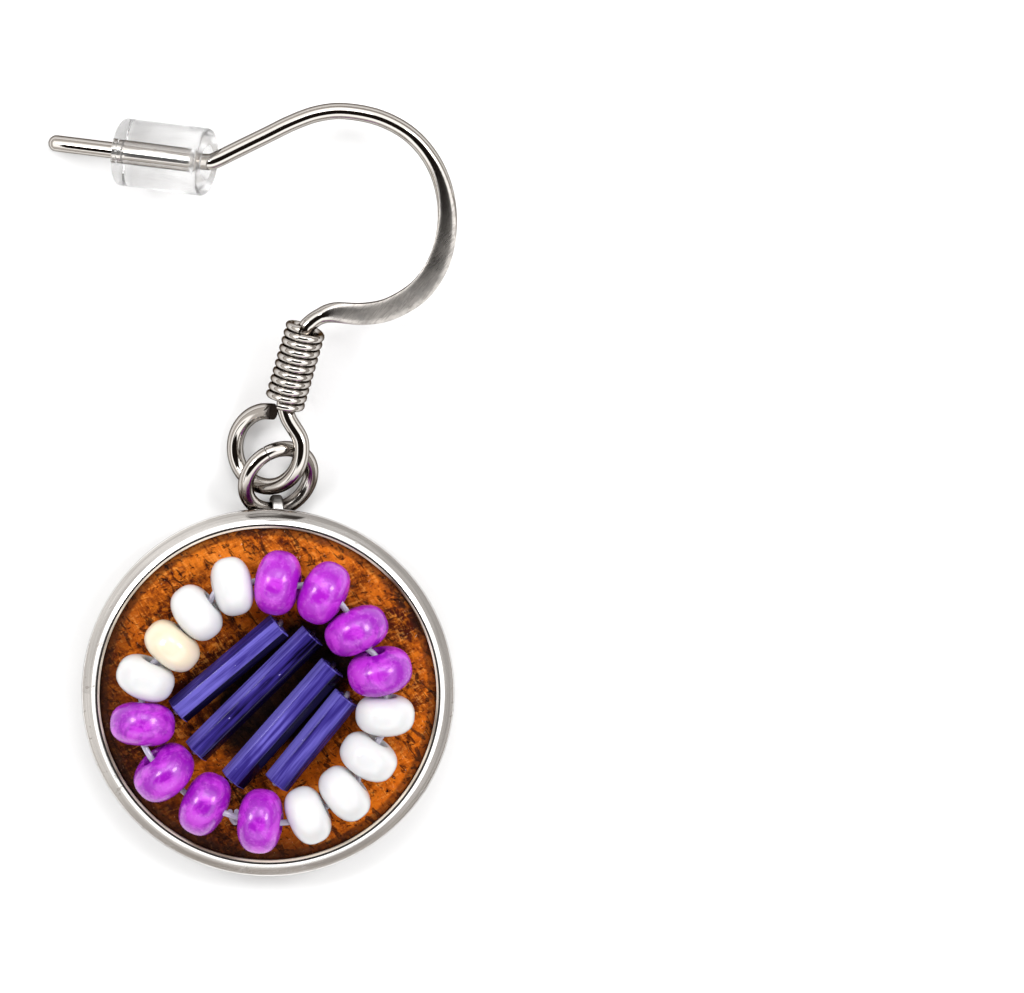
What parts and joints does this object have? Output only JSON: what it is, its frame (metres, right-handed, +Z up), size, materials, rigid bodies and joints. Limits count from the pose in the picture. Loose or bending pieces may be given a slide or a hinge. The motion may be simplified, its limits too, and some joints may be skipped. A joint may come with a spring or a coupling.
{
  "type": "beaded hook earring",
  "caption": "Hook earring with a round metal tray, a leather disc ringed with glass beads and bugle beads across it, a jump ring, a coil-wound ear wire and a clear sliding stopper.",
  "frame": {"origin": "middle of the tray's flat back, on the surface that the earring lies on", "axes": "+Z up out of the disc's beaded face, +Y from the disc to the hook, +X to the right of the beaded face"},
  "size_m": [0.0197, 0.038, 0.0054],
  "materials": {
    "tray_steel": "satin",
    "wire_steel": "polished",
    "leather": "suede",
    "violet_glass": "lustre",
    "white_glass": "gloss",
    "cream_glass": "gloss",
    "blue_glass": "clear gloss",
    "filament": "clear",
    "clear_silicone": "clear"
  },
  "bodies": {
    "stopper": {"ear_stopper": "clear_silicone"},
    "earring": {"bezel": "tray_steel", "backing_disc": "leather", "bead_thread": "filament", "jump_ring": "wire_steel", "ear_hook": "wire_steel", "hook_coil": "wire_steel", "bead_01": "white_glass", "bead_02": "violet_glass", "bead_03": "violet_glass", "bead_04": "violet_glass", "bead_05": "violet_glass", "bead_06": "white_glass", "bead_07": "white_glass", "bead_08": "white_glass", "bead_09": "white_glass", "bead_10": "violet_glass", "bead_11": "violet_glass", "bead_12": "violet_glass", "bead_13": "violet_glass", "bead_14": "white_glass", "bead_15": "cream_glass", "bead_16": "white_glass", "bugle_01": "blue_glass", "bugle_02": "blue_glass", "bugle_03": "blue_glass", "bugle_04": "blue_glass", "bugle_thread_01": "filament", "bugle_thread_02": "filament", "bugle_thread_03": "filament", "bugle_thread_04": "filament"}
  },
  "joints": [
    {"name": "hook_from_stopper", "type": "slide", "parent": "stopper", "child": "earring", "axis": [0.9302, -0.058, 0.3623], "range_m": [0, 0.0086]}
  ]
}
